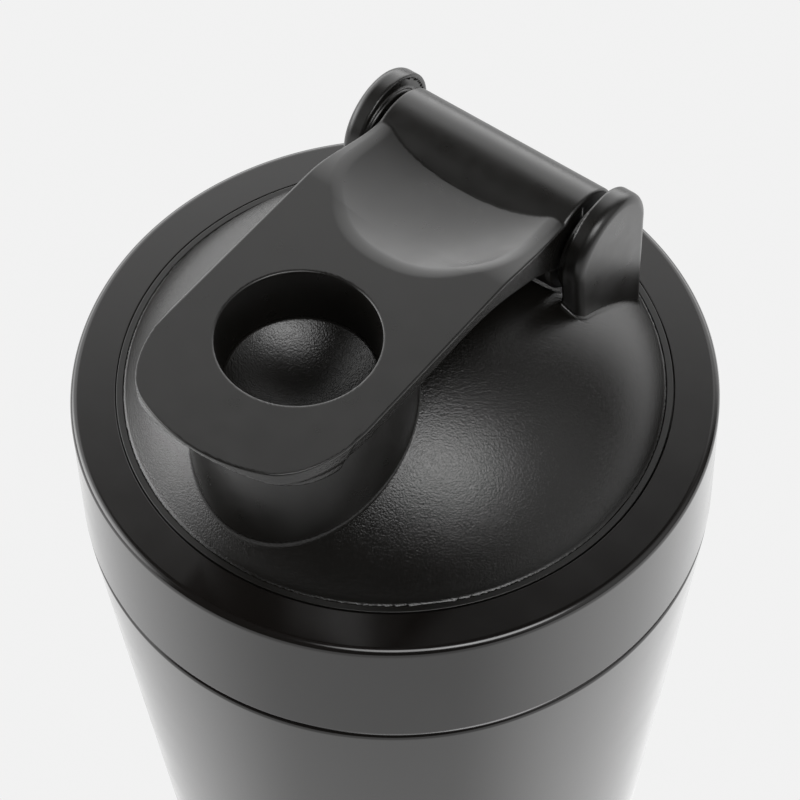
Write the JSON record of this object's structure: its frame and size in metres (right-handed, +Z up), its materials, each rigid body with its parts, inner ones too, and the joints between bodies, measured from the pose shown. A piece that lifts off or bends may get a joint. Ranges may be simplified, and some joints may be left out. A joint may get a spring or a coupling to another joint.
{
  "type": "protein shaker bottle",
  "caption": "Tapered double-walled steel shaker bottle with a screw lid, a domed top, a spout closed by a hinged flip cap, and a loose wire whisk ball inside.",
  "frame": {"origin": "middle of the foot, on the surface that the bottle stands on", "axes": "+Z up along the bottle's axis, spout on the -Y side, hinge on the +Y side, +X to the right"},
  "size_m": [0.095, 0.095, 0.219],
  "materials": {
    "coated_steel": "satin black powder coat",
    "bare_steel": "brushed round the bottle",
    "wire_steel": "polished wire",
    "lid_plastic": "fine spark-eroded grain",
    "cap_plastic": "satin top with grained sides",
    "silicone": "matt"
  },
  "bodies": {
    "cup": {"outer_shell": "coated_steel", "inner_liner": "bare_steel", "base_plate": "coated_steel", "foot_pad": "silicone"},
    "ball": {"whisk_ball": "wire_steel"},
    "lid_seal": {"lid_gasket": "silicone"},
    "lid": {"lid_body": "lid_plastic", "lid_band": "coated_steel"},
    "cap": {"flip_cap": "cap_plastic", "spout_seal": "silicone"}
  },
  "joints": [
    {"name": "ball_shake", "type": "slide", "parent": "cup", "child": "ball", "axis": [0, 0, 1], "range_m": [0, 0.135]},
    {"name": "lid_lift", "type": "slide", "parent": "cup", "child": "lid_seal", "axis": [0, 0, 1], "range_m": [0, 0.0182]},
    {"name": "lid_turn", "type": "hinge", "parent": "lid_seal", "child": "lid", "pos_m": [0, 0, 0.1876], "axis": [0, 0, 1], "range_deg": [0, 810]},
    {"name": "flip_open", "type": "hinge", "parent": "lid", "child": "cap", "pos_m": [0, 0.0228, 0.2095], "axis": [-1, 0, 0], "range_deg": [0, 195]}
  ],
  "couplings": [
    {"joint": "lid_lift", "follows": "lid_turn", "m_per_rad": 0.0012732}
  ]
}
